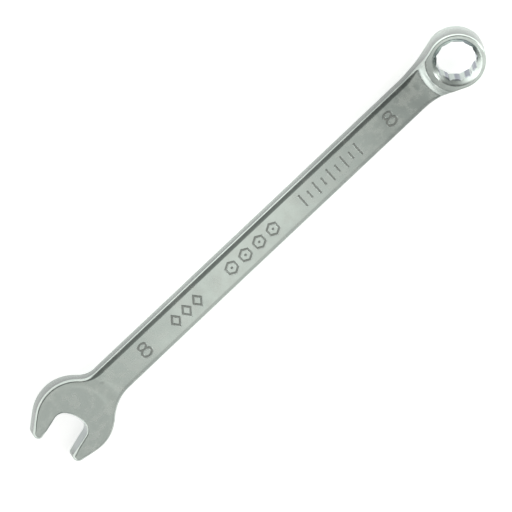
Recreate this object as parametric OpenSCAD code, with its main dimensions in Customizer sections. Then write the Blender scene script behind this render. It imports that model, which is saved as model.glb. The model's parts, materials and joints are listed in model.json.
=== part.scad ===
// Combination wrench, 8 mm: an open jaw at one end and a twelve-point ring at the other.
// It is one drop forging, drawn as its three regions, which meet face to face.
// X runs along the shank from the jaw to the ring, Y across it, Z up through the marked face.
// The origin is at the bottom centre of the wrench's bounding box.

/* [Size] */
// Length over both ends
overall_length = 130; // [115:1:160]
// Nut size that both ends fit, across its flats
nut_size = 8; // [7.5:0.1:8.3]
// Clearance between the nut and the flats of either end
nut_play = 0.08; // [0.02:0.01:0.16]

/* [Shank] */
// Width of the shank
shank_width = 7.95; // [7.2:0.05:8.6]
// Thickness of the shank
shank_thickness = 3.7; // [3.2:0.1:4.2]
// Size of the bevels along the shank's four edges
shank_bevel = 0.95; // [0.6:0.05:1.2]

/* [Open end] */
// Width of the round head around the jaw
head_width = 17.8; // [17:0.1:19]
// Thickness of the head
head_thickness = 4.75; // [4.5:0.05:5.2]
// Angle of the jaw to the shank, seen from above
head_turn = 15; // [12:1:18]
// How far the head's centre lies beside the shank's centre line
head_offset = 0.42; // [0:0.02:0.6]
// Distance of the jaw tips' centres in front of the head's centre
tip_reach = 6.65; // [6:0.05:7.2]
// Radius of the rounded jaw tips
tip_radius = 1.4; // [1.2:0.05:1.6]
// Radius of the shallow arc at the bottom of the throat
throat_radius = 6.5; // [5.5:0.1:8]
// Radius of the corners between the throat and the jaw flats
throat_corner = 2.2; // [1.8:0.1:2.6]
// How far the throat reaches behind the head's centre
throat_reach = 0.5; // [0:0.1:1]
// Radius of the neck on the side of the longer jaw
neck_radius_long = 5; // [4:0.5:8]
// Radius of the neck on the side of the shorter jaw
neck_radius_short = 10; // [8:0.5:12]

/* [Ring end] */
// Outside diameter of the ring
ring_width = 13; // [12.6:0.1:14]
// Height of the ring along its own axis
ring_height = 5.8; // [5.4:0.1:6.4]
// Angle that the ring is cranked up from the shank
ring_crank = 15; // [10:1:18]
// Height of the ring's centre above the shank's centre line
ring_rise = 2.3; // [1.8:0.1:2.6]
// Turn of the twelve-point pattern about the ring's axis
socket_turn = 4; // [0:1:29]
// Diameter that the ring is drilled to before its points are broached
socket_drill = 8.7; // [8.5:0.05:8.9]
// Depth of the conical lead-in at each mouth of the socket
lead_in = 0.8; // [0.5:0.05:1]
// Chamfer round the ring's outer edges
ring_chamfer = 0.5; // [0.3:0.05:0.8]
// Radius of the long necks that run into the ring
ring_neck_radius = 30; // [24:1:36]

/* [Hidden] */
$fn = 96;
STEEL = [0.71, 0.73, 0.71];

// Chamfers of the head: round its outside, and round the edges of the gap
edge_chamfer = 0.38;
gap_chamfer = 0.4;
// Spare length of the cutting tools past the metal
spare = 1;
// Where arcs and flats run into each other, one cuts this deep into the next
bite = 0.04;

// The side of a right-angled triangle beside the one given
function other_side(hypotenuse, side) = sqrt(hypotenuse * hypotenuse - side * side);

shank_half_w = shank_width / 2;
shank_half_t = shank_thickness / 2;
head_r = head_width / 2;
head_half_t = head_thickness / 2;
ring_r = ring_width / 2;
ring_half_h = ring_height / 2;
jaw_half = (nut_size + nut_play) / 2;

// The head's centre lies on the X axis and the shank's centre line beside it
shank_y = head_offset;
middle_z = head_half_t;

// Jaw tips, whose inner sides the jaw flats cut into by a little
tip_side = jaw_half + tip_radius - 0.25;
head_x = tip_reach * cos(head_turn) + tip_side * sin(head_turn) + tip_radius - overall_length / 2;

// Throat: a shallow arc in the middle, and a corner arc tangent to it and to each flat
throat_x = throat_reach - throat_radius;
corner_y = jaw_half - throat_corner + bite;
corner_x = throat_x + other_side(throat_radius - throat_corner + bite, corner_y);
throat_half_angle = atan(corner_y / (corner_x - throat_x));
jaw_mouth_x = -tip_reach - tip_radius - spare;

// Necks of the open end, each an arc tangent to the round head and to the shank's side
long_side = shank_half_w + shank_y;
short_side = shank_half_w - shank_y;
long_neck_x = head_x + other_side(head_r + neck_radius_long - bite, long_side + neck_radius_long);
short_neck_x = head_x + other_side(head_r + neck_radius_short - bite, short_side + neck_radius_short);
head_joint_x = max(long_neck_x, short_neck_x) + 1;
// The sloping shoulder between the head's faces and the thinner neck
shoulder_in = head_r - 0.2;
shoulder_out = head_r + 1.4;

// The ring's centre, from its rounded lower edge at the very end of the wrench
ring_x = overall_length / 2 - ring_r * cos(ring_crank)
    - (ring_half_h - ring_chamfer) * sin(ring_crank);
// The neck's centre line runs level, bends up in an arc and runs straight to the ring's centre
bend_radius = 15;
bend_length = bend_radius * ring_crank * PI / 180;
bend_tangent = bend_radius * tan(ring_crank / 2);
bend_x = ring_x - ring_rise / tan(ring_crank) - bend_tangent;
bend_to_ring = bend_length + ring_rise / sin(ring_crank) - bend_tangent;
// The neck is as wide as the shank where it starts and ends just inside the ring's outside
ring_neck_r = ring_r - 0.1;
ring_neck = other_side(ring_neck_r + ring_neck_radius, shank_half_w + ring_neck_radius);
ring_neck_end = ring_neck * ring_neck_radius / (ring_neck_r + ring_neck_radius);
ring_joint_x = bend_x + bend_to_ring - ring_neck;
ring_neck_half_t = 2.3;
ring_neck_sections = 9;

socket_corner_r = jaw_half / cos(30);
// The lead-in cones start inside the drilled hole
lead_in_start_r = socket_drill / 2 - 0.3;

function bend_angle(s) = s < 0 ? 0 : s > bend_length ? ring_crank : s / bend_radius * 180 / PI;
function bend_point(s) =
    let (a = bend_angle(s), straight = s < 0 ? s : max(0, s - bend_length))
    [bend_radius * sin(a) + straight * cos(a), bend_radius * (1 - cos(a)) + straight * sin(a)];
function ring_neck_half_w(s) =
    shank_half_w + ring_neck_radius - other_side(ring_neck_radius, s);

// Outline of a flat bar with four bevelled edges
function bar_section(half_w, half_t) = [
    for (quadrant = [[1, 1], [-1, 1], [-1, -1], [1, -1]])
        for (step = quadrant[0] == quadrant[1] ? [0, 1] : [1, 0])
            [quadrant[0] * (half_w - step * shank_bevel),
             quadrant[1] * (half_t - (1 - step) * shank_bevel)]
];

// A disc or a bar of the head's thickness: its outline from the middle out, with chamfered edges
function chamfered_edge(inside, outside) = [
    [inside, -head_half_t], [outside - edge_chamfer, -head_half_t],
    [outside, edge_chamfer - head_half_t], [outside, head_half_t - edge_chamfer],
    [outside - edge_chamfer, head_half_t], [inside, head_half_t]
];

// The straight flank between the round head and a jaw tip
module jaw_flank() {
    span = norm([tip_reach, tip_side]);
    run = other_side(span, head_r - tip_radius);
    outward = 180 - atan(tip_side / tip_reach) - acos((head_r - tip_radius) / span);
    rotate(outward) translate([head_r, run, 0]) rotate([90, 0, 0])
        linear_extrude(run) polygon(chamfered_edge(-jaw_half, -bite));
}

// The round head with its two jaws, before the gap is cut
module jaw_blank() {
    rotate_extrude() polygon(chamfered_edge(0, head_r));
    for (side = [0, 1]) mirror([0, side, 0]) {
        jaw_flank();
        translate([-tip_reach, tip_side, 0]) rotate_extrude() polygon(chamfered_edge(0, tip_radius));
    }
}

// The space between the jaws from one height up by h, with walls that lean out by flare
module jaw_gap(h, flare) {
    translate([jaw_mouth_x, 0, 0]) rotate([90, 0, 90]) linear_extrude(corner_x - jaw_mouth_x)
        polygon([[-jaw_half, 0], [jaw_half, 0], [jaw_half + flare, h], [-jaw_half - flare, h]]);
    for (side = [-1, 1]) translate([corner_x, side * corner_y, 0])
        cylinder(h = h, r1 = throat_corner, r2 = throat_corner + flare);
    translate([throat_x, 0, 0]) intersection() {
        cylinder(h = h, r1 = throat_radius, r2 = throat_radius + flare);
        linear_extrude(h) polygon([for (side = [0, -1, 1])
            2 * throat_radius * abs(side) * [1, side * tan(throat_half_angle)]]);
    }
}

// Outline of the space beside the shank, out to a distance from the middle of a neck's arc
function cutter_profile(radius) =
    let (wall = shank_half_t - shank_bevel, reach = head_half_t + spare, lean = reach - wall)
    [[0, -reach], [radius + lean, -reach], [radius, -wall],
     [radius, wall], [radius + lean, reach], [0, reach]];

// Cuts one side of the open end's neck: an arc from the head, then straight along the shank
module neck_cutter(radius, neck_x) {
    translate([neck_x, 0, 0]) {
        rotate_extrude() polygon(cutter_profile(radius + bite));
        rotate([90, 0, 90]) mirror([1, 0, 0])
            linear_extrude(head_joint_x - neck_x + spare) polygon(cutter_profile(radius));
    }
}

// The open end's neck of a given thickness, between the head's centre and the shank
module head_neck(half_t) {
    difference() {
        translate([0, 0, -half_t]) linear_extrude(2 * half_t) polygon([
            [head_x, 0], [long_neck_x, long_side + neck_radius_long],
            [head_joint_x, long_side + spare], [head_joint_x, -short_side - spare],
            [short_neck_x, -short_side - neck_radius_short]]);
        translate([0, long_side + neck_radius_long, 0]) neck_cutter(neck_radius_long, long_neck_x);
        translate([0, -short_side - neck_radius_short, 0]) mirror([0, 1, 0])
            neck_cutter(neck_radius_short, short_neck_x);
    }
}

module open_end_head() {
    color(STEEL) translate([0, 0, middle_z]) difference() {
        union() {
            translate([head_x, 0, 0]) rotate(head_turn) jaw_blank();
            head_neck(shank_half_t);
            intersection() {
                head_neck(head_half_t);
                translate([head_x, 0, 0]) rotate_extrude() polygon([
                    [0, -head_half_t], [shoulder_in, -head_half_t], [shoulder_out, -shank_half_t],
                    [shoulder_out, shank_half_t], [shoulder_in, head_half_t], [0, head_half_t]]);
            }
        }
        translate([head_x, 0, 0]) rotate(head_turn) {
            translate([0, 0, -head_half_t - spare]) jaw_gap(head_thickness + 2 * spare, 0);
            for (face = [0, 1]) mirror([0, 0, face]) translate([0, 0, head_half_t - gap_chamfer])
                jaw_gap(gap_chamfer + spare, gap_chamfer + spare);
        }
    }
}

module shank() {
    color(STEEL) translate([head_joint_x, shank_y, middle_z]) rotate([90, 0, 90])
        linear_extrude(ring_joint_x - head_joint_x)
            polygon(bar_section(shank_half_w, shank_half_t));
}

// Corners of one section across the ring's neck, at a share of the way along it
function neck_section(share) =
    let (s = share * ring_neck_end, along = s + ring_joint_x - bend_x,
         a = bend_angle(along), middle = bend_point(along),
         half_t = shank_half_t + (ring_neck_half_t - shank_half_t) * share * share)
    [for (corner = bar_section(ring_neck_half_w(s), half_t))
        [bend_x + middle[0] - corner[1] * sin(a), corner[0], middle[1] + corner[1] * cos(a)]];

// The bent neck, which widens and thickens from the shank into the ring
module ring_neck_bar() {
    corners = len(bar_section(1, 1));
    sections = [for (i = [0 : ring_neck_sections]) neck_section(i / ring_neck_sections)];
    polyhedron(
        points = [for (section = sections) each section],
        faces = [
            [for (j = [0 : corners - 1]) j],
            [for (j = [corners - 1 : -1 : 0]) ring_neck_sections * corners + j],
            for (i = [0 : ring_neck_sections - 1], j = [0 : corners - 1])
                let (a = i * corners + j, b = i * corners + (j + 1) % corners)
                    each [[a, a + corners, b + corners], [a, b + corners, b]]
        ]);
}

// The ring's solid blank, with chamfered outer edges
module ring_blank() {
    rotate_extrude() polygon([
        [0, -ring_half_h], [ring_r - ring_chamfer, -ring_half_h],
        [ring_r, ring_chamfer - ring_half_h], [ring_r, ring_half_h - ring_chamfer],
        [ring_r - ring_chamfer, ring_half_h], [0, ring_half_h]]);
}

// The drilled and broached twelve-point hole with a lead-in at each mouth
module socket() {
    translate([0, 0, -ring_half_h - spare]) {
        cylinder(h = ring_height + 2 * spare, d = socket_drill);
        for (star = [0, 30]) rotate(socket_turn + star)
            cylinder(h = ring_height + 2 * spare, r = socket_corner_r, $fn = 6);
    }
    mouth_r = socket_corner_r + lead_in;
    for (face = [0, 1]) mirror([0, 0, face])
        translate([0, 0, ring_half_h - mouth_r + lead_in_start_r])
            cylinder(h = mouth_r - lead_in_start_r + spare, r1 = lead_in_start_r, r2 = mouth_r + spare);
}

module ring_head() {
    color(STEEL) translate([0, shank_y, middle_z]) difference() {
        union() {
            ring_neck_bar();
            translate([ring_x, 0, ring_rise]) rotate([0, -ring_crank, 0]) ring_blank();
        }
        translate([ring_x, 0, ring_rise]) rotate([0, -ring_crank, 0]) socket();
    }
}

open_end_head();
shank();
ring_head();
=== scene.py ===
"""Looks of an 8 mm combination wrench: one satin-chromed forging in three pieces that meet."""

import json
import math

import bmesh
import bpy
import numpy as np
from mathutils import Matrix, Vector
from mathutils.geometry import delaunay_2d_cdt


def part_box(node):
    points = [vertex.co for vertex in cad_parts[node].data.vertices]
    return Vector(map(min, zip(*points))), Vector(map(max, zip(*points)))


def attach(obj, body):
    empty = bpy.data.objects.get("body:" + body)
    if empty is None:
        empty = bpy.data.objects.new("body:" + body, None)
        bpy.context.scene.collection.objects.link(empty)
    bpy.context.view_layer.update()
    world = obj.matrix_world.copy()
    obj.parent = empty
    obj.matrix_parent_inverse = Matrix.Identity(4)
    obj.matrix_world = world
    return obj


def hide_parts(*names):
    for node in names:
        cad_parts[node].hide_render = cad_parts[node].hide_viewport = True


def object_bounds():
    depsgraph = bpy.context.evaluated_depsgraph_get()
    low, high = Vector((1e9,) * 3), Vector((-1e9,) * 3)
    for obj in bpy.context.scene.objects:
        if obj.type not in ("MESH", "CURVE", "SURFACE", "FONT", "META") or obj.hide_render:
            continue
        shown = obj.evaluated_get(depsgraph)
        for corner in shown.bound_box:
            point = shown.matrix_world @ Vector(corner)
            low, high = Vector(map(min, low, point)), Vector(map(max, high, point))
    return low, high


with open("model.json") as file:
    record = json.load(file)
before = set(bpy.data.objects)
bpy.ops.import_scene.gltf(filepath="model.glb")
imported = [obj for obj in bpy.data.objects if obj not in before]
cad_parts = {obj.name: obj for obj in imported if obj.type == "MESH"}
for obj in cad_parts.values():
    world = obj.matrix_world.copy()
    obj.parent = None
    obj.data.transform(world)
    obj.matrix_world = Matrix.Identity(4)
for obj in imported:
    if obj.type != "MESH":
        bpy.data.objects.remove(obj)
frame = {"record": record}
cad_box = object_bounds()
MM = 0.001


def box_mm(node):
    lo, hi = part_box(node)
    return np.array(lo) / MM, np.array(hi) / MM


# ---- places and sizes that the CAD gives, in millimetres ------------------------------------------
head_lo, head_hi = box_mm("open_end_head")
shank_lo, shank_hi = box_mm("shank")
HEAD_JOINT, RING_JOINT = shank_lo[0], shank_hi[0]
SHANK_Y, MID_Z = (shank_lo[1] + shank_hi[1]) / 2, (shank_lo[2] + shank_hi[2]) / 2
HALF_W, HALF_T = (shank_hi[1] - shank_lo[1]) / 2, (shank_hi[2] - shank_lo[2]) / 2
HEAD_R, HEAD_HALF_T = (head_hi[1] - head_lo[1]) / 2, (head_hi[2] - head_lo[2]) / 2

HEAD_TURN = math.radians(15)
JAW_HALF = 4.04
TIP_REACH, TIP_R, TIP_SIDE = 6.65, 1.4, JAW_HALF + 1.15
INNER_TIP_R = 0.9
HEAD_X = (head_lo[0] + TIP_REACH * math.cos(HEAD_TURN) + TIP_SIDE * math.sin(HEAD_TURN) + TIP_R)
THROAT_R, THROAT_CORNER, THROAT_REACH = 6.5, 2.2, 0.5
NECK_R_PLUS, NECK_R_MINUS = 5.0, 10.0

socket_mount = next(m for m in frame["record"]["mounts"] if m["name"] == "ring_socket")
RING_C = np.array(socket_mount["pos_m"]) / MM
CRANK = math.atan2(-socket_mount["axis"][0], socket_mount["axis"][2])
RING_R, RING_HALF_H = 6.5, 2.9
NECK_HALF_T, NECK_RUN = 2.3, 10.8
CORNER_R, DRILL_R, SOCKET_TURN = JAW_HALF / math.cos(math.radians(30)), 4.35, 4.0
LEAD_IN_R = CORNER_R + 0.88

# The centre line is unrolled: s runs along it, level first, then up a bend, then straight to the ring
BEND_R = 15.0
RISE = RING_C[2] - MID_Z
BEND_TANGENT = BEND_R * math.tan(CRANK / 2)
BEND_X = RING_C[0] - RISE / math.tan(CRANK) - BEND_TANGENT
BEND_LENGTH = BEND_R * CRANK
RING_S = BEND_X + BEND_LENGTH + RISE / math.sin(CRANK) - BEND_TANGENT


def bend(points):
    """Unrolled points (s, y, height over the middle plane) to the row frame, in millimetres."""
    s, y, z = points.T
    along = s - BEND_X
    a = np.clip(along / BEND_R, 0, CRANK)
    straight = np.where(along < 0, along, np.maximum(0, along - BEND_LENGTH))
    x = BEND_X + BEND_R * np.sin(a) + straight * np.cos(a) - z * np.sin(a)
    up = BEND_R * (1 - np.cos(a)) + straight * np.sin(a) + z * np.cos(a)
    return np.stack([x, y, MID_Z + up], 1)


def smooth(t):
    t = np.clip(t, 0, 1)
    return t * t * (3 - 2 * t)


# ---- outline, seen from above, with outward normals -----------------------------------------------
STEP = 0.3


def arc(cx, cy, r, a0, a1, step=STEP):
    """Points and outward normals along an arc; it turns left round metal and right round a hollow."""
    turn = a1 - a0
    n = max(1, math.ceil(max(abs(math.radians(turn)) * r / step, abs(turn) / 5)))
    a = np.radians(np.linspace(a0, a1, n + 1))
    u = np.stack([np.cos(a), np.sin(a)], 1)
    return np.array([cx, cy]) + r * u, u * math.copysign(1, turn)


def line(p, q, step=STEP):
    p, q = np.array(p, float), np.array(q, float)
    n = max(1, math.ceil(np.linalg.norm(q - p) / step))
    d = (q - p) / np.linalg.norm(q - p)
    return p + (q - p) * np.linspace(0, 1, n + 1)[:, None], np.tile([d[1], -d[0]], (n + 1, 1))


def chain(*parts):
    return tuple(np.concatenate([p[k][:-1] for p in parts[:-1]] + [parts[-1][k]]) for k in (0, 1))


def turned(part):
    """From the jaw's own axes to the row frame."""
    c, s = math.cos(HEAD_TURN), math.sin(HEAD_TURN)
    m = np.array([[c, s], [-s, c]])
    return part[0] @ m + np.array([HEAD_X, 0]), part[1] @ m


def degrees(y, x):
    return math.degrees(math.atan2(y, x))


# Necks of the open end
plus_y, minus_y = SHANK_Y + HALF_W, SHANK_Y - HALF_W
plus_c = (math.sqrt((HEAD_R + NECK_R_PLUS) ** 2 - (plus_y + NECK_R_PLUS) ** 2), plus_y + NECK_R_PLUS)
minus_c = (math.sqrt((HEAD_R + NECK_R_MINUS) ** 2 - (minus_y - NECK_R_MINUS) ** 2),
           minus_y - NECK_R_MINUS)
plus_a, minus_a = degrees(plus_c[1], plus_c[0]), degrees(minus_c[1], minus_c[0])
# Jaws, in their own axes: flanks, tips, flats and throat
turn_deg = math.degrees(HEAD_TURN)
flank_a = 180 - degrees(TIP_SIDE, TIP_REACH) - math.degrees(
    math.acos((HEAD_R - TIP_R) / math.hypot(TIP_REACH, TIP_SIDE)))
flank = np.array([math.cos(math.radians(flank_a)), math.sin(math.radians(flank_a))])
tip = np.array([-TIP_REACH, TIP_SIDE])
inner_y = JAW_HALF + INNER_TIP_R
inner_x = -TIP_REACH - math.sqrt((TIP_R - INNER_TIP_R) ** 2 - (inner_y - TIP_SIDE) ** 2)
inner_a = degrees(inner_y - TIP_SIDE, inner_x + TIP_REACH) % 360
throat_x = THROAT_REACH - THROAT_R
corner_y = JAW_HALF - THROAT_CORNER
corner_x = throat_x + math.sqrt((THROAT_R - THROAT_CORNER) ** 2 - corner_y ** 2)
throat_a = degrees(corner_y, corner_x - throat_x)
down = np.array([1, -1])

jaw_parts = [
    arc(0, 0, HEAD_R, plus_a - turn_deg, flank_a),
    line(flank * HEAD_R, tip + flank * TIP_R),
    arc(*tip, TIP_R, flank_a, inner_a, 0.1),
    arc(inner_x, inner_y, INNER_TIP_R, inner_a, 270, 0.08),
    line((inner_x, JAW_HALF), (corner_x, JAW_HALF)),
    arc(corner_x, corner_y, THROAT_CORNER, 90, throat_a, 0.15),
    arc(throat_x, 0, THROAT_R, throat_a, -throat_a, 0.15),
    arc(corner_x, -corner_y, THROAT_CORNER, -throat_a, -90, 0.15),
    line((corner_x, -JAW_HALF), (inner_x, -JAW_HALF)),
    arc(inner_x, -inner_y, INNER_TIP_R, 90, 360 - inner_a, 0.08),
    arc(*(tip * down), TIP_R, 360 - inner_a, 360 - flank_a, 0.1),
    line((tip + flank * TIP_R) * down, flank * HEAD_R * down),
    arc(0, 0, HEAD_R, 360 - flank_a, 360 + minus_a - turn_deg),
]
head_outline = chain(
    line((HEAD_JOINT, plus_y), (HEAD_X + plus_c[0], plus_y)),
    arc(HEAD_X + plus_c[0], plus_c[1], NECK_R_PLUS, 270, 180 + plus_a),
    *[turned(p) for p in jaw_parts],
    arc(HEAD_X + minus_c[0], minus_c[1], NECK_R_MINUS, 180 + minus_a, 90),
    line((HEAD_X + minus_c[0], minus_y), (HEAD_JOINT, minus_y)))

# The ring's necks start at the joint and run tangent into the ring
ring_run = RING_S - RING_JOINT
RING_NECK_R = (ring_run ** 2 / (RING_R - HALF_W) - RING_R - HALF_W) / 2
ring_a = degrees(HALF_W + RING_NECK_R, ring_run)
ring_outline = chain(
    arc(RING_JOINT, minus_y - RING_NECK_R, RING_NECK_R, 90, ring_a),
    arc(RING_S, SHANK_Y, RING_R, ring_a - 180, 180 - ring_a, 0.2),
    arc(RING_JOINT, plus_y + RING_NECK_R, RING_NECK_R, 360 - ring_a, 270))
shank_outlines = (line((RING_JOINT, plus_y), (HEAD_JOINT, plus_y), 1.2),
                  line((HEAD_JOINT, minus_y), (RING_JOINT, minus_y), 1.2))


# ---- edge profiles: from the wall inwards, slopes in degrees and slant lengths --------------------
def profile(slopes, lengths):
    a, n = np.radians(slopes), np.array(lengths)
    inwards = np.concatenate([[0], np.cumsum(n * np.cos(a))])
    below = np.concatenate([[0], np.cumsum(n * np.sin(a))])
    return np.stack([inwards, below[-1] - below], 1)


def chamfer(length, ease):
    return profile([78, 66, 55, 45, 33, 22, 12, 3], [.03, .03, .04, length, ease, ease, ease, .08])


HEAD, GAP, TIPS, SHANK, RING = range(5)
PROFILES = np.stack([
    chamfer(0.42, 0.08),
    chamfer(0.28, 0.06),
    chamfer(0.62, 0.05),
    profile([64, 51, 43, 34, 27, 20, 12, 4], [.19, .08, .12, .20, .28, .28, .20, .10]),
    profile([78, 66, 56, 48, 38, 26, 14, 5], [.05, .05, .18, .16, .08, .06, .05, .05])])
ROWS = PROFILES.shape[1]
# Share of the walls' darker colour on each row of points from the top bevel to the bottom one, most at
# the top: a rougher forged finish, and partly painted shade for the shadowed floor that the walls reflect
WALL_FINISH_AND_SHADE = np.zeros(2 * ROWS + 2)
WALL_FINISH_AND_SHADE[ROWS - 1:ROWS + 3] = 1.0, 0.85, 0.35, 0.35
# Share of the bore's dark bluish colour on the jaw flats, and on the two flanks of each of the ring's
# points. The colour is partly the broached finish and partly painted reflection, and one flank of each
# point is painted darker than the other, as painted light and shade
JAW_TONE = 0.35
FLANK_LIGHT_AND_SHADE = 1.0, 0.15


def weights(points, normals):
    """How much of each edge profile applies at every point of an outline. They blend smoothly."""
    x, y = points.T
    c, s = math.cos(HEAD_TURN), math.sin(HEAD_TURN)
    jx, jy = c * (x - HEAD_X) + s * y, -s * (x - HEAD_X) + c * y
    away = smooth((x - HEAD_X - np.where(y > 0, 7.0, 7.3)) / np.where(y > 0, 3.6, 5.0))
    tips = smooth((-5.0 - jx) / 2.2)
    inside = (np.abs(jy) < TIP_SIDE - 0.6) & (jx < THROAT_REACH + 0.2)
    ring = smooth((x - RING_S + 12.4) / 6.5)
    w = np.zeros((len(x), len(PROFILES)))
    w[:, GAP] = inside * (1 - tips)
    w[:, TIPS] = tips
    w[:, HEAD] = (1 - inside) * (1 - tips) * (1 - away)
    w[:, RING] = ring * (x > 0)
    w[:, SHANK] = 1 - w.sum(1)
    return w


# ---- height of the faces over the middle plane ----------------------------------------------------
# The cove behind the ring: arcs of (radius, first slope, last slope), from the ring's top outwards
COVE_START = RING_R + 0.1
COVE_ARCS = (0.7, 0, 36), (8.0, 36, 22), (0.8, 22, 0)
# The shoulder between the head's face and the neck, by the distance from the head's centre
SHOULDER_IN, SHOULDER_OUT, SHOULDER_SLANT = 6.8, 11.8, 1.2


def cove():
    """Fall from the ring's top to its neck against the distance from the ring's axis, as a share."""
    rho, fall, out = COVE_START, 0.0, [(0, 0.0), (COVE_START, 0.0)]
    for radius, first, last in COVE_ARCS:
        for a in np.radians(np.linspace(first, last, 13)[1:]):
            b = math.radians(first)
            out.append((rho + radius * abs(math.sin(a) - math.sin(b)),
                        fall + radius * abs(math.cos(b) - math.cos(a))))
        rho, fall = out[-1]
    out = np.array(out)
    return out[:, 0], out[:, 1] / out[-1, 1]


COVE = cove()
# A shallow dent at the neck: x, y, turn, half length, half width and depth
DENT = (HEAD_X + 9.6, 2.3, math.radians(-35), 1.1, 0.6, 0.09)


def height(points, top=True):
    x, y = points.T
    rho = np.hypot(x - HEAD_X, y)
    end = SHOULDER_OUT - SHOULDER_SLANT * smooth((y + 1.5) / 4)
    fall = smooth((rho - SHOULDER_IN) / (end - SHOULDER_IN)) * smooth((x - HEAD_X - 1.6) / 5.0)
    h = HALF_T + (HEAD_HALF_T - HALF_T) * (1 - fall) * (x < 0)
    share = np.clip((x - RING_JOINT) / NECK_RUN, 0, 1)
    neck = HALF_T + (NECK_HALF_T - HALF_T) * share ** 2
    r = np.hypot(x - RING_S, y - SHANK_Y)
    near = smooth((RING_S - 1.6 - x) / 2.6)
    ring = RING_HALF_H - (RING_HALF_H - neck) * np.interp(r, *COVE) * near
    h = np.where(x > RING_JOINT, ring, h)
    if top:
        dx, dy = x - DENT[0], y - DENT[1]
        u = (dx * math.cos(DENT[2]) + dy * math.sin(DENT[2])) / DENT[3]
        v = (dy * math.cos(DENT[2]) - dx * math.sin(DENT[2])) / DENT[4]
        h = h - DENT[5] * np.exp(-u * u - v * v)
    return h


# ---- stamped marks: plain shapes sunk into the marked face ----------------------------------------
# (how far outside the mark's edge, how deep)
LIPS = ((0.13, 0.0), (0.07, 0.0), (0.02, 0.015), (-0.03, 0.06), (-0.08, 0.125), (-0.12, 0.15))
STROKE = 0.25
FLAT_SIDES = 48


def round_loop(cx, cy, r, a0=0.0, a1=360.0):
    n = max(3, round(FLAT_SIDES * (a1 - a0) / 360))
    a = np.radians(np.linspace(a0, a1, n, endpoint=a1 - a0 < 360))
    return np.stack([cx + r * np.cos(a), cy + r * np.sin(a)], 1)


def many_sided(r, sides, first, e):
    """Corners of a polygon whose sides lie e outside one of radius r."""
    a = np.radians(first + 360 / sides * np.arange(sides))
    return (r + e / math.cos(math.pi / sides)) * np.stack([np.cos(a), np.sin(a)], 1)


def dot(r):
    return [lambda e: round_loop(0, 0, r + e)]


def outline_of(r, sides, first, sx=1.0, sy=1.0):
    """A closed line along a polygon: its outer edge, and the island that it leaves inside."""
    half = STROKE / math.cos(math.pi / sides)
    return [lambda e: many_sided(r + half, sides, first, e) * (sx, sy),
            lambda e: many_sided(r - half, sides, first, -e) * (sx, sy)]


def bar(tall):
    def loop(e):
        w = STROKE + e
        return np.concatenate([round_loop(0, tall / 2 - STROKE, w, 0, 180),
                               round_loop(0, STROKE - tall / 2, w, 180, 360)])
    return [loop]


def eight(upper=0.72, lower=0.9, wide=1.3):
    gap = upper + lower
    base = -(gap + upper + lower) / 2 + lower

    def outside(e):
        t, b = upper + STROKE + e, lower + STROKE + e
        at = math.degrees(math.acos((gap ** 2 + t ** 2 - b ** 2) / (2 * gap * t)))
        ab = math.degrees(math.acos((gap ** 2 + b ** 2 - t ** 2) / (2 * gap * b)))
        loop = np.concatenate([round_loop(0, base + gap, t, at - 90, 270 - at),
                               round_loop(0, base, b, 90 + ab, 450 - ab)[1:-1]])
        return loop * (wide, 1)
    return [outside,
            lambda e: round_loop(0, base + gap, upper - STROKE - e) * (wide, 1),
            lambda e: round_loop(0, base, lower - STROKE - e) * (wide, 1)]


# Where the marks lie on the shank, in millimetres from the joint with the head: the size at both
# ends, a row of diamonds, a row of nut outlines and a row of ruler strokes
SIZES_AT, DIAMONDS_AT, NUTS_AT, STROKES_AT = (7.137, 80.335), 19.627, 39.271, 62.614
DIAMOND_STEP, NUT_STEP, STROKE_STEP = 3.2, 4.1, 2.05
LONG_STROKE, SHORT_STROKE = 3.4, 2.1

MARKS = [(at, eight()) for at in SIZES_AT]
for k in (-1, 0, 1):
    MARKS.append((DIAMONDS_AT + DIAMOND_STEP * k, outline_of(1.3, 4, 0, 0.85, 1.1)))
for k in (-1.5, -0.5, 0.5, 1.5):
    MARKS.append((NUTS_AT + NUT_STEP * k, outline_of(1.45, 6, 30) + dot(0.3)))
for k in range(-4, 5):
    MARKS.append((STROKES_AT + STROKE_STEP * k, bar(SHORT_STROKE if k % 2 else LONG_STROKE)))


# ---- mesh making ----------------------------------------------------------------------------------
def inside(points, loop):
    a, b = loop, np.roll(loop, -1, 0)
    x, y = points[:, :1], points[:, 1:]
    crosses = (a[:, 1] > y) != (b[:, 1] > y)
    with np.errstate(divide="ignore", invalid="ignore"):
        at = a[:, 0] + (y - a[:, 1]) / (b[:, 1] - a[:, 1]) * (b[:, 0] - a[:, 0])
    return (np.sum(crosses & (x < at), 1) % 2) == 1


def clear_of(points, loop, gap):
    """The points that lie inside a loop and more than gap from it."""
    points = points[inside(points, loop)]
    a, d = loop, np.roll(loop, -1, 0) - loop
    keep = []
    for chunk in np.array_split(points, max(1, len(points) // 500)):
        t = np.clip(((chunk[:, None] - a) * d).sum(2) / np.maximum((d * d).sum(1), 1e-12), 0, 1)
        keep.append(np.linalg.norm(chunk[:, None] - a - t[..., None] * d, axis=2).min(1) > gap)
    return points[np.concatenate(keep)] if len(points) else points


def grid(x0, x1, y0, y1, step, step_y=None):
    xs = np.arange(x0 + step / 2, x1, step)
    ys = np.arange(y0 + (step_y or step) / 2, y1, step_y or step)
    return np.stack(np.meshgrid(xs, ys), -1).reshape(-1, 2)


def polar(cx, cy, radii, spacing, a0=0.0, a1=360.0):
    out = []
    for k, r in enumerate(radii):
        n = max(3, round(math.radians(a1 - a0) * r / spacing))
        a = np.radians(a0 + (a1 - a0) * (np.arange(n) + 0.5 * (k % 2)) / n)
        out.append(np.stack([cx + r * np.cos(a), cy + r * np.sin(a)], 1))
    return np.concatenate(out)


MASKS = ("sunk", "side", "bore")
WELD = 0.002
SHARP = math.radians(14)


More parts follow.
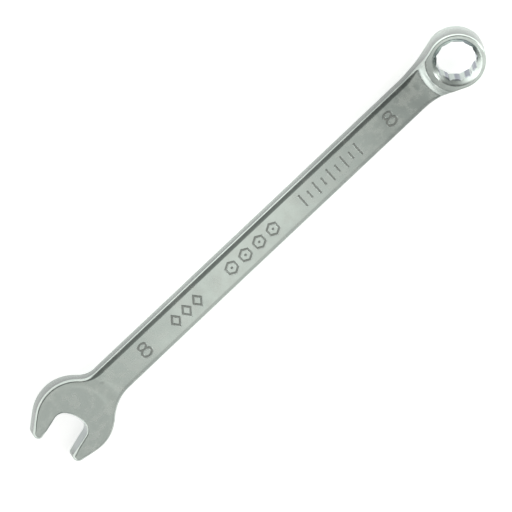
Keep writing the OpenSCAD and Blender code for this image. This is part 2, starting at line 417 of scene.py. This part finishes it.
class Skin:
    """Collects faces in unrolled millimetres; shared points are welded at the end."""

    def __init__(self):
        self.points, self.faces, self.masks, self.count = [], [], [], 0

    def add(self, points, faces, **masks):
        """masks give each point's share of the materials' variants: sunk, side and bore."""
        self.points.append(points)
        self.faces += [[i + self.count for i in f] for f in faces]
        self.masks.append(np.column_stack([
            np.broadcast_to(masks.get(k, 0.0), len(points)) for k in MASKS]))
        self.count += len(points)

    def edge_band(self, outline):
        """The bevelled edges and the wall along an outline. Returns the ring of points of each sample."""
        p, n = outline
        w = weights(p, n)
        shape = np.einsum("ij,jkl->ikl", w, PROFILES)
        place = p[:, None] - n[:, None] * shape[:, :, :1]
        flat = place.reshape(-1, 2)
        upper = height(flat).reshape(place.shape[:2]) - shape[:, :, 1]
        lower = -height(flat, False).reshape(place.shape[:2]) + shape[:, :, 1]
        hold = [upper[:, 0] - 0.06, lower[:, 0] + 0.06]
        xy = np.concatenate([place[:, ::-1], np.stack([p, p], 1), place], 1)
        z = np.concatenate([upper[:, ::-1], np.stack(hold, 1), lower], 1)
        band = np.concatenate([xy, z[..., None]], 2)
        rows, cols = band.shape[:2]
        k = np.arange(rows * cols).reshape(rows, cols)
        quads = np.stack([k[:-1, :-1], k[1:, :-1], k[1:, 1:], k[:-1, 1:]], -1).reshape(-1, 4)
        gap = w[:, GAP:GAP + 1]
        # The jaw flats take part of the bore's bluish colour: broached finish, and partly painted
        # reflection
        bore = (WALL_FINISH_AND_SHADE > 0) * gap * JAW_TONE
        # Walls take the darker colour: a rougher forged finish, and partly painted shade for the shadowed
        # floor that they reflect
        self.add(band.reshape(-1, 3), quads.tolist(), side=(WALL_FINISH_AND_SHADE * (1 - gap)).ravel(),
                 bore=bore.ravel())
        return band

    def face(self, loop, points, top, hole=None, marks=()):
        """One face, top or bottom, inside a loop, with an optional hole and sunk marks."""
        loops = [(loop, 0.0)] + ([(hole, 0.0)] if hole is not None else []) + list(marks)
        xy = np.concatenate([q for q, _ in loops] + [points])
        deep = np.concatenate([np.full(len(q), d) for q, d in loops] + [np.zeros(len(points))])
        links, start = [], 0
        for q, _ in loops:
            n = len(q)
            links += [(start + i, start + (i + 1) % n) for i in range(n)]
            start += n
        out = delaunay_2d_cdt([Vector(q) for q in xy], links, [], 1, 1e-7)
        source = [o[0] for o in out[3]]
        z = (height(xy, top) - deep) * (1 if top else -1)
        first = len(loop)
        in_hole = set(range(first, first + len(hole))) if hole is not None else set()
        faces = [[source[i] for i in f] for f in out[2]]
        faces = [f for f in faces if not all(i in in_hole for i in f)]
        # Points in the stamps' recesses take the stamps' dark colour, more where deeper: painted shade
        self.add(np.column_stack([xy, z]), faces, sunk=deep / LIPS[-1][1])

    def cap(self, plus, minus, upper, lower):
        """The flat end where a piece meets the next: plus and minus are the edge bands' end rings."""
        ring = np.concatenate([plus, lower, minus[::-1], upper])
        side = np.concatenate([WALL_FINISH_AND_SHADE, np.zeros(len(lower)), WALL_FINISH_AND_SHADE[::-1], np.zeros(len(upper))])
        self.add(ring, [list(range(len(ring)))], side=side)

    def socket(self):
        """The twelve-point hole. Returns the loop round its mouth."""
        period = [0, 2.75, 5.5, 8.25, 11.6, 15, 18.4, 21.75, 24.5, 27.25]
        deg = np.array([30 * k + a for k in range(12) for a in period])
        off = np.abs((deg + 15) % 30 - 15)
        r = np.maximum(DRILL_R, JAW_HALF / np.cos(np.radians(30 - off)))
        a = np.radians(deg + SOCKET_TURN)
        u = np.stack([np.cos(a), np.sin(a)], 1)
        rows, rho, fall = [], LEAD_IN_R + 0.09, 0.0
        for slope, length in ((0, 0.06), (16, 0.025), (32, 0.025)):
            rho -= length * math.cos(math.radians(slope))
            fall += length * math.sin(math.radians(slope))
            rows.append((np.full(len(r), rho), fall))
        for share in (0.35, 0.7, 1):
            here = rho + (r - rho) * share
            rows.append((here, fall + rho - here))
        upper = [(q, RING_HALF_H - f) for q, f in rows]
        levels = upper + [(q, -z) for q, z in reversed(upper)]
        band = np.stack([np.column_stack([
            RING_S + u[:, 0] * q, SHANK_Y + u[:, 1] * q, np.broadcast_to(z, q.shape)])
            for q, z in levels], 1)
        n, m = band.shape[:2]
        k = np.arange(n * m).reshape(n, m)
        k2 = np.roll(k, -1, 0)
        quads = np.stack([k[:, :-1], k2[:, :-1], k2[:, 1:], k[:, 1:]], -1).reshape(-1, 4)
        # Only the broached wall between the two cones has the bore's colour, partly painted reflection;
        # one flank of each point is painted darker than the other, as painted light and shade
        wall = np.array([0.0] * 5 + [1.0, 1.0] + [0.0] * 5)
        flank = np.where((deg + 15) % 30 < 15, *FLANK_LIGHT_AND_SHADE)
        self.add(band.reshape(-1, 3), quads.tolist(), bore=np.outer(flank, wall).ravel())
        return band[:, 0, :2]

    def piece(self, name, node):
        bm = bmesh.new()
        layers = [bm.verts.layers.float.new(k) for k in MASKS]
        points = np.concatenate(self.points)
        masks = np.concatenate(self.masks)
        used = sorted({i for f in self.faces for i in f})
        verts = {}
        for i in used:
            verts[i] = bm.verts.new(points[i])
            for layer, value in zip(layers, masks[i]):
                verts[i][layer] = value
        for f in self.faces:
            bm.faces.new([verts[i] for i in f])
        bmesh.ops.remove_doubles(bm, verts=bm.verts[:], dist=WELD)
        bmesh.ops.triangulate(bm, faces=[f for f in bm.faces if len(f.verts) > 4])
        bmesh.ops.recalc_face_normals(bm, faces=bm.faces[:])
        loose = sum(1 for e in bm.edges if len(e.link_faces) != 2)
        print(f"{name}: {len(bm.faces)} faces, {loose} open edges")
        co = bend(np.array([v.co for v in bm.verts]))
        for v, q in zip(bm.verts, co):
            v.co = q * MM
        for f in bm.faces:
            f.smooth = True
        mesh = bpy.data.meshes.new(name)
        bm.to_mesh(mesh)
        bm.free()
        mesh.set_sharp_from_angle(angle=SHARP)
        obj = bpy.data.objects.new(name, mesh)
        bpy.context.scene.collection.objects.link(obj)
        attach(obj, "root")
        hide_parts(node)
        return obj


EDGE_IN = PROFILES[SHANK, -1, 0]
across = SHANK_Y + np.linspace(-1, 1, 11) * (HALF_W - EDGE_IN)


def joint_line(x, top):
    xy = np.column_stack([np.full(len(across), x), across])
    return np.column_stack([xy, height(xy, top) * (1 if top else -1)])


def loop_of(*runs):
    return np.concatenate([r[:, :2] for r in runs])


def make_head():
    skin = Skin()
    band = skin.edge_band(head_outline)
    for top in (True, False):
        edge = band[:, 0 if top else -1]
        loop = loop_of(edge, joint_line(HEAD_JOINT, top)[1:-1])
        pts = [clear_of(grid(head_lo[0], HEAD_X + 4, -9, 9, 0.9), loop, 0.25),
               clear_of(polar(HEAD_X, 0, np.arange(6.6, 14.0, 0.22), 0.3, -62, 62), loop, 0.1)]
        if top:
            fine = grid(DENT[0] - 2.4, DENT[0] + 2.4, DENT[1] - 2.4, DENT[1] + 2.4, 0.14)
            near = np.hypot(*(fine - DENT[:2]).T) < 2.3
            pts[1] = pts[1][np.hypot(*(pts[1] - DENT[:2]).T) > 2.35]
            pts.append(clear_of(fine[near], loop, 0.1))
        skin.face(loop, np.concatenate(pts), top)
    skin.cap(band[0], band[-1], joint_line(HEAD_JOINT, True)[1:-1],
             joint_line(HEAD_JOINT, False)[1:-1][::-1])
    return skin.piece("open_end", "open_end_head")


def make_shank():
    skin = Skin()
    plus, minus = [skin.edge_band(o) for o in shank_outlines]
    loops, spans = [], []
    for along, edges in MARKS:
        at = np.array([HEAD_JOINT + along, SHANK_Y])
        sets = [[e(lip) + at for lip, _ in LIPS] for e in edges]
        loops += [(q, d) for qs in sets for q, (_, d) in zip(qs, LIPS)]
        spans.append((sets[0][0].min(0) - 0.12, sets[0][0].max(0) + 0.12))
    for top in (True, False):
        k = 0 if top else -1
        a, b = joint_line(HEAD_JOINT, top), joint_line(RING_JOINT, top)
        loop = loop_of(plus[:, k], a[1:-1][::-1], minus[:, k], b[1:-1])
        pts = clear_of(grid(HEAD_JOINT, RING_JOINT, shank_lo[1], shank_hi[1], 1.1, 0.8), loop, 0.3)
        if top:
            for lo, hi in spans:
                pts = pts[~np.all((pts > lo) & (pts < hi), 1)]
        skin.face(loop, pts, top, marks=loops if top else ())
    for x, i in ((HEAD_JOINT, -1), (RING_JOINT, 0)):
        skin.cap(plus[i], minus[-1 - i], joint_line(x, True)[1:-1],
                 joint_line(x, False)[1:-1][::-1])
    return skin.piece("shank_bar", "shank")


def make_ring():
    skin = Skin()
    band = skin.edge_band(ring_outline)
    hole = skin.socket()
    for top in (True, False):
        edge = band[:, 0 if top else -1]
        loop = loop_of(edge, joint_line(RING_JOINT, top)[1:-1][::-1])
        radii = np.concatenate([np.arange(5.72, 6.0, 0.12), np.arange(6.0, 6.5, 0.06),
                                np.arange(6.5, 8.9, 0.14)])
        pts = [clear_of(polar(RING_S, SHANK_Y, radii, 0.22), loop, 0.06)]
        rest = grid(RING_JOINT, RING_S, -8, 8, 0.3, 0.5)
        rest = rest[np.hypot(rest[:, 0] - RING_S, rest[:, 1] - SHANK_Y) > 9.0]
        pts.append(clear_of(rest, loop, 0.15))
        skin.face(loop, np.concatenate(pts), top, hole=hole)
    skin.cap(band[-1], band[0], joint_line(RING_JOINT, True)[1:-1],
             joint_line(RING_JOINT, False)[1:-1][::-1])
    return skin.piece("ring_end", "ring_head")


# ---- satin chrome ---------------------------------------------------------------------------------
# The steel is toned along the tool, to look like the photo: the head and above all the ring's neck are
# darker than the middle of the shank, and the ring is lightest. It stands in for a real room's
# uneven reflections, and isn't wear.
HEAD_TONE, SHANK_TONE, NECK_TONE, RING_TONE = 0.53, 0.73, 0.29, 0.94
TONES = ((HEAD_JOINT - 8, HEAD_TONE), (HEAD_JOINT + 12, SHANK_TONE), (RING_JOINT - 31, SHANK_TONE),
         (RING_JOINT, NECK_TONE), (RING_JOINT + 3, NECK_TONE), (RING_C[0] + 1, RING_TONE))
TINT = np.array([0.91, 1.0, 0.945])


def node(tree, kind, **values):
    n = tree.nodes.new(kind)
    for key, value in values.items():
        if hasattr(n, key):
            setattr(n, key, value)
        else:
            n.inputs[key.replace("_", " ")].default_value = value
    return n


def satin_chrome():
    mat = bpy.data.materials.new("satin_chrome")
    mat.use_nodes = True
    t = mat.node_tree
    link = t.links.new
    shader = t.nodes["Principled BSDF"]
    shader.inputs["Metallic"].default_value = 1.0
    where = node(t, "ShaderNodeTexCoord")

    def noise(scale, detail, rough, stretch=(1, 1, 1)):
        m = node(t, "ShaderNodeMapping")
        m.inputs["Scale"].default_value = stretch
        n = node(t, "ShaderNodeTexNoise", Scale=scale, Detail=detail, Roughness=rough)
        link(where.outputs["Object"], m.inputs["Vector"])
        link(m.outputs["Vector"], n.inputs["Vector"])
        return n.outputs["Fac"]

    def spread(value, lo, hi, to_lo, to_hi):
        m = node(t, "ShaderNodeMapRange", interpolation_type="SMOOTHSTEP")
        for key, v in zip(("From Min", "From Max", "To Min", "To Max"), (lo, hi, to_lo, to_hi)):
            m.inputs[key].default_value = v
        link(value, m.inputs["Value"])
        return m.outputs["Result"]

    def math_node(op, *values):
        m = node(t, "ShaderNodeMath", operation=op)
        for k, v in enumerate(values):
            if isinstance(v, (int, float)):
                m.inputs[k].default_value = v
            else:
                link(v, m.inputs[k])
        return m.outputs["Value"]

    cloud = noise(70, 3, 0.55)
    mottle = noise(420, 4, 0.6)
    grain = noise(1.0, 5, 0.7, (260, 2600, 2600))
    pits = noise(2600, 3, 0.6)
    sunk, side, bore = [
        node(t, "ShaderNodeAttribute", attribute_name=k).outputs["Fac"] for k in MASKS]

    def blend_to(colour, share, other):
        m = node(t, "ShaderNodeMix", data_type="RGBA")
        link(colour, m.inputs["A"])
        m.inputs["B"].default_value = (*other, 1)
        link(share, m.inputs["Factor"])
        return m.outputs["Result"]

    # The ramp runs from the first tone's place to the last one's
    first, last = TONES[0][0], TONES[-1][0]
    length = last - first
    split = node(t, "ShaderNodeSeparateXYZ")
    link(where.outputs["Object"], split.inputs["Vector"])
    along = node(t, "ShaderNodeValToRGB")
    place = math_node("MULTIPLY_ADD", split.outputs["X"], 1 / (MM * length), -first / length)
    link(place, along.inputs["Fac"])
    stops = along.color_ramp.elements
    stops[0].color, stops[1].color = [(*TINT * TONES[k][1], 1) for k in (0, -1)]
    for x, tone in TONES[1:-1]:
        stops.new((x - first) / length).color = (*TINT * tone, 1)
    colour = along.outputs["Color"]
    # Dull clouds and bright mottling, then painted shade in the stamps, the walls' darker forged finish
    # with painted shade, and the bore's bluish finish with painted reflection and painted light and shade
    # on its flanks
    colour = blend_to(colour, spread(cloud, 0.38, 0.62, 0, 0.4), (0.47, 0.52, 0.50))
    colour = blend_to(colour, spread(mottle, 0.42, 0.66, 0, 0.3), (0.70, 0.73, 0.69))
    for mask, share, shade_and_finish in ((sunk, 0.75, (0.25, 0.26, 0.245)), (side, 0.95, (0.185, 0.195, 0.195)),
                                (bore, 0.95, (0.27, 0.285, 0.34))):
        colour = blend_to(colour, math_node("MULTIPLY", mask, share), shade_and_finish)
    link(colour, shader.inputs["Base Color"])

    rough = spread(mottle, 0.3, 0.7, 0.17, 0.26)
    rough = math_node("ADD", rough, spread(cloud, 0.3, 0.7, 0.0, 0.05))
    for mask, change in ((sunk, 0.15), (side, 0.06), (bore, -0.09)):
        rough = math_node("MULTIPLY_ADD", mask, change, rough)
    link(rough, shader.inputs["Roughness"])

    relief = spread(pits, 0.28, 0.36, -0.25, 0.0)
    for noise_value, deep in ((grain, 0.35), (mottle, 0.9), (cloud, 5.0)):
        relief = math_node("MULTIPLY_ADD", noise_value, deep, relief)
    bump = node(t, "ShaderNodeBump", Strength=1.0, Distance=0.00001)
    link(relief, bump.inputs["Height"])
    link(bump.outputs["Normal"], shader.inputs["Normal"])
    return mat


steel = satin_chrome()
for obj in (make_head(), make_shank(), make_ring()):
    obj.data.materials.append(steel)

# ---- floor, light and camera ----------------------------------------------------------------------
lo, hi = cad_box
centre = (lo + hi) / 2
floor_mesh = bpy.data.meshes.new("floor")
corners = [(3.0 * x, 3.0 * y, 0) for x, y in ((-1, -1), (1, -1), (1, 1), (-1, 1))]
floor_mesh.from_pydata(corners, [], [(0, 1, 2, 3)])
floor = bpy.data.objects.new("floor", floor_mesh)
floor.location.z = lo.z - 0.00002
bpy.context.scene.collection.objects.link(floor)
paper = bpy.data.materials.new("pale_floor")
paper.use_nodes = True
paper_shader = paper.node_tree.nodes["Principled BSDF"]
paper_shader.inputs["Base Color"].default_value = (0.9, 0.9, 0.895, 1)
paper_shader.inputs["Roughness"].default_value = 0.9
paper_shader.inputs["Specular IOR Level"].default_value = 0.1
paper_shader.inputs["Emission Color"].default_value = (1, 1, 0.995, 1)
paper_shader.inputs["Emission Strength"].default_value = 0.62
floor_mesh.materials.append(paper)

world = bpy.data.worlds.new("studio")
bpy.context.scene.world = world
world.use_nodes = True
wt = world.node_tree
back = wt.nodes["Background"]
sky = wt.nodes.new("ShaderNodeTexCoord")
split = wt.nodes.new("ShaderNodeSeparateXYZ")
ramp = wt.nodes.new("ShaderNodeValToRGB")
wt.links.new(sky.outputs["Generated"], split.inputs["Vector"])
wt.links.new(split.outputs["Z"], ramp.inputs["Fac"])
wt.links.new(ramp.outputs["Color"], back.inputs["Color"])
# The sky is bright near the horizon, dark above it, and a little lighter straight overhead
stops = ramp.color_ramp.elements
stops[0].color = (1.0, 1.0, 0.99, 1)
stops[1].color = (0.24, 0.25, 0.24, 1)
for at, grey in ((0.12, 1.5), (0.38, 1.6), (0.50, 0.32), (0.7, 0.15)):
    stops.new(at).color = (grey, grey * 1.01, grey * 0.99, 1)
# It is dimmer on the -Y side
dim = wt.nodes.new("ShaderNodeMapRange")
for key, value in (("From Min", -0.75), ("From Max", -0.1), ("To Min", 0.4), ("To Max", 1.0)):
    dim.inputs[key].default_value = value
wt.links.new(split.outputs["Y"], dim.inputs["Value"])
wt.links.new(dim.outputs["Result"], back.inputs["Strength"])


def lamp(name, size, at, radiance, colour=(1, 1, 1), look=(0, 0, 0)):
    """A soft box of size (across, along) that faces the point look, both from the tool's middle."""
    light = bpy.data.lights.new(name, "AREA")
    light.shape, light.size, light.size_y = "RECTANGLE", *size
    light.energy, light.color = radiance * math.pi * size[0] * size[1], colour
    obj = bpy.data.objects.new(name, light)
    bpy.context.scene.collection.objects.link(obj)
    obj.location = centre + Vector(at)
    z = (Vector(at) - Vector(look)).normalized()
    x = (Vector((1, 0, 0)) - z * z.x).normalized()
    y = z.cross(x)
    obj.matrix_world = Matrix.Translation(obj.location) @ Matrix((x, y, z)).transposed().to_4x4()
    obj.visible_camera = False
    return obj


# The camera looks down, tilted from straight above towards +Y and turned about its own axis
TILT, LEAN, VIEW_WIDTH = math.radians(19.8), math.radians(43.35), 0.1115
SHIFT_RIGHT, SHIFT_UP = 0.00121, -0.00202
mirror = Vector((0, -math.sin(TILT), math.cos(TILT)))
lamp("overhead", (1.5, 1.87), Vector((0.35, -0.795, 1.272)), 0.54, (1.0, 1.0, 0.97))
lamp("middle", (0.09, 0.3), mirror * 0.55, 0.2, (1.0, 1.0, 0.96))
lamp("left", (0.8, 0.9), (-0.66, -0.5, 1.27), 0.58, (1.0, 1.0, 0.98))
lamp("side", (0.5, 0.5), (1.1, -0.6, 0.9), 4.0)
lamp("low", (0.6, 0.5), (-1.15, -0.4, 0.42), 1.3)

camera = bpy.data.cameras.new("camera")
camera.lens, camera.sensor_width = 250, 36
camera.clip_start, camera.clip_end = 0.01, 20
eye = bpy.data.objects.new("camera", camera)
bpy.context.scene.collection.objects.link(eye)
back_axis = Vector((0, math.sin(TILT), math.cos(TILT)))
flat_v = Vector((0, math.cos(TILT), -math.sin(TILT)))
right = Vector((1, 0, 0)) * math.cos(LEAN) - flat_v * math.sin(LEAN)
up = Vector((1, 0, 0)) * math.sin(LEAN) + flat_v * math.cos(LEAN)
distance = VIEW_WIDTH * camera.lens / camera.sensor_width
aim = Vector((-0.0025, SHANK_Y * MM, MID_Z * MM)) + right * SHIFT_RIGHT + up * SHIFT_UP
eye.matrix_world = Matrix((
    (right.x, up.x, back_axis.x, 0), (right.y, up.y, back_axis.y, 0),
    (right.z, up.z, back_axis.z, 0), (0, 0, 0, 1)))
eye.location = aim + back_axis * distance
bpy.context.scene.camera = eye
bpy.context.scene.view_settings.view_transform = "Standard"
